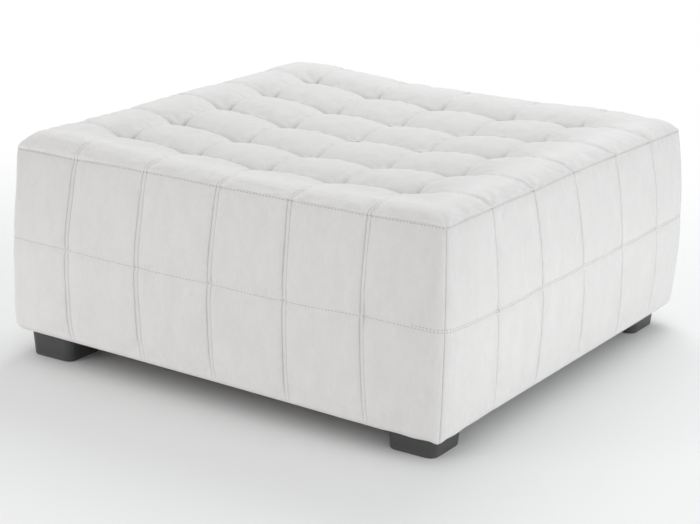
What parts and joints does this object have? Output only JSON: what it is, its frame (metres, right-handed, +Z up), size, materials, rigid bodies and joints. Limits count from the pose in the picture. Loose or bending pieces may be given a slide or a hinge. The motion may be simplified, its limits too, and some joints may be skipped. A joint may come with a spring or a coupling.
{
  "type": "ottoman coffee table",
  "caption": "Square upholstered ottoman coffee table with a biscuit-tufted top, seamed sides and low block feet.",
  "frame": {"origin": "on the floor under the middle of the block", "axes": "+Z up; -Y is the front and +X the right side; the block is the same on all four sides"},
  "size_m": [1.0158, 1.0158, 0.4481],
  "materials": {
    "velvet": "matte",
    "foam": "matte",
    "plywood": "matte",
    "pine": "matte",
    "dust_cloth": "matte",
    "foot_plastic": "satin",
    "zinc_steel": "satin",
    "cord": "matte",
    "anchor_plastic": "matte"
  },
  "bodies": {
    "root": {"top_quilt": "velvet", "side_cover_front": "velvet", "side_cover_right": "velvet", "side_cover_back": "velvet", "side_cover_left": "velvet", "top_foam": "foam", "side_foam_front": "foam", "side_foam_right": "foam", "side_foam_back": "foam", "side_foam_left": "foam", "deck_board": "plywood", "side_board_front": "plywood", "side_board_right": "plywood", "side_board_back": "plywood", "side_board_left": "plywood", "top_rail_front": "pine", "top_rail_right": "pine", "top_rail_back": "pine", "top_rail_left": "pine", "bottom_rail_front": "pine", "bottom_rail_right": "pine", "bottom_rail_back": "pine", "bottom_rail_left": "pine", "corner_post_front_left": "pine", "corner_post_front_right": "pine", "corner_post_back_right": "pine", "corner_post_back_left": "pine", "leg_block_front_left": "pine", "leg_block_front_right": "pine", "leg_block_back_right": "pine", "leg_block_back_left": "pine", "deck_joist_left": "pine", "deck_joist_right": "pine", "base_stretcher": "pine", "dust_cover": "dust_cloth", "foot_front_left": "foot_plastic", "foot_front_right": "foot_plastic", "foot_back_right": "foot_plastic", "foot_back_left": "foot_plastic", "leg_bolts": "zinc_steel", "threaded_inserts": "zinc_steel", "deck_screws": "zinc_steel", "tuft_cords": "cord", "tuft_anchors": "anchor_plastic"}
  },
  "joints": []
}
